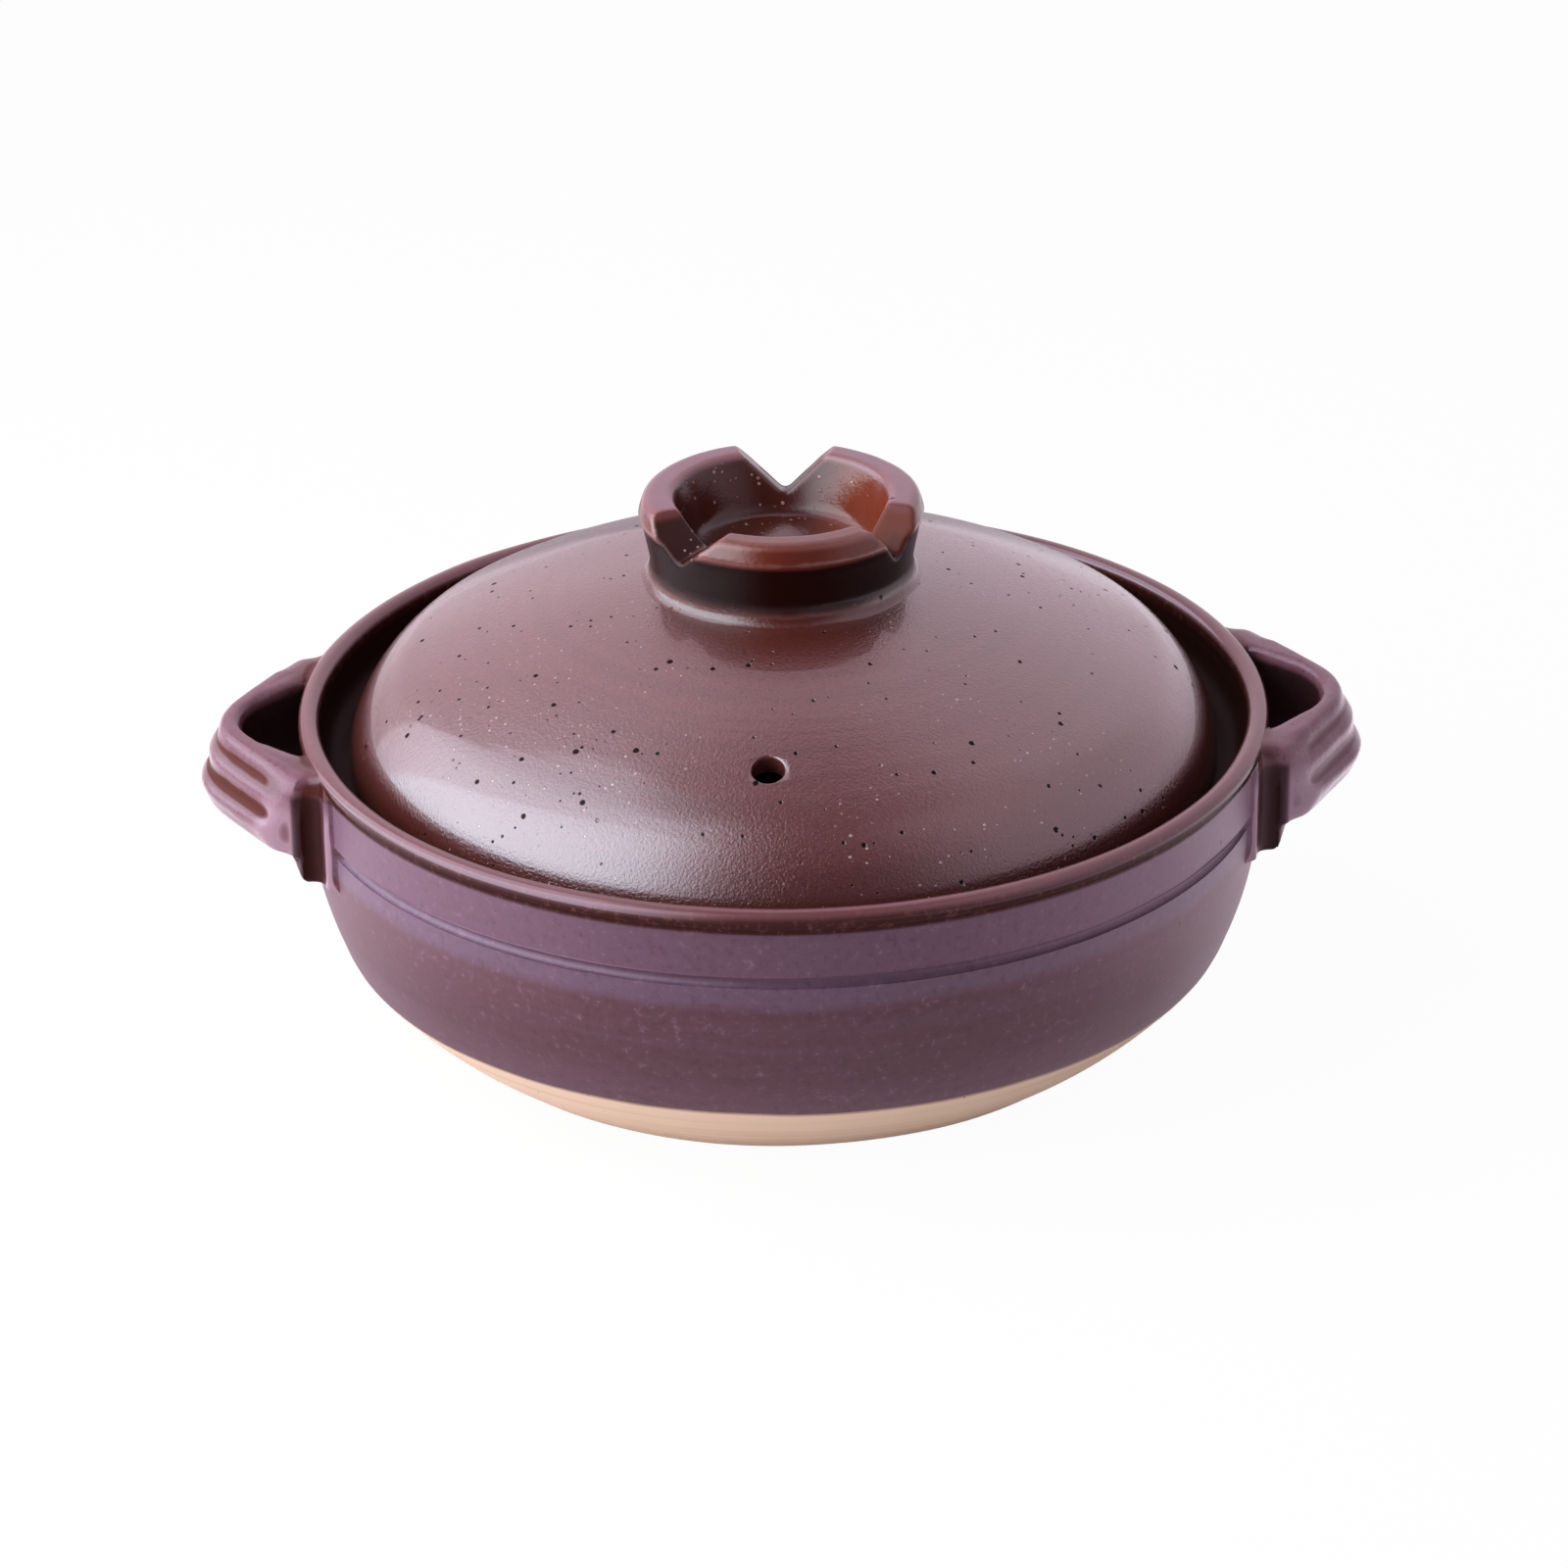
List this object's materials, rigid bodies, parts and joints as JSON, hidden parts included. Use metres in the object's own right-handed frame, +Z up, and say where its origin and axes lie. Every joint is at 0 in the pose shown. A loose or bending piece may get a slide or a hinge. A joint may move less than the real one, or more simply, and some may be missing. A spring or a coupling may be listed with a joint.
{
  "type": "donabe clay pot",
  "caption": "Round stoneware casserole with ribbed lug handles and a domed, vented lid that lifts off by its notched ring knob.",
  "frame": {"origin": "centre of the foot ring, on the surface that the pot stands on", "axes": "+Z up along the pot's axis, +X towards the right-hand handle, -Y towards the side that the steam vent is on"},
  "size_m": [0.3128, 0.26, 0.1458],
  "materials": {
    "pot_glaze": "mauve iron glaze over buff stoneware, bare clay at the foot",
    "handle_glaze": "mauve iron glaze that breaks to brown in the hollows",
    "lid_glaze": "glossy mauve iron glaze with pinholes and pale specks",
    "knob_glaze": "glossy red-brown iron glaze, darker inside the bowl"
  },
  "bodies": {
    "pot": {"pot_body": "pot_glaze", "handle_left": "handle_glaze", "handle_right": "handle_glaze"},
    "lid": {"lid_dome": "lid_glaze", "lid_knob": "knob_glaze"}
  },
  "joints": [
    {"name": "lid_lift", "type": "slide", "parent": "pot", "child": "lid", "axis": [0, 0, 1], "range_m": [0, 0.12]}
  ]
}
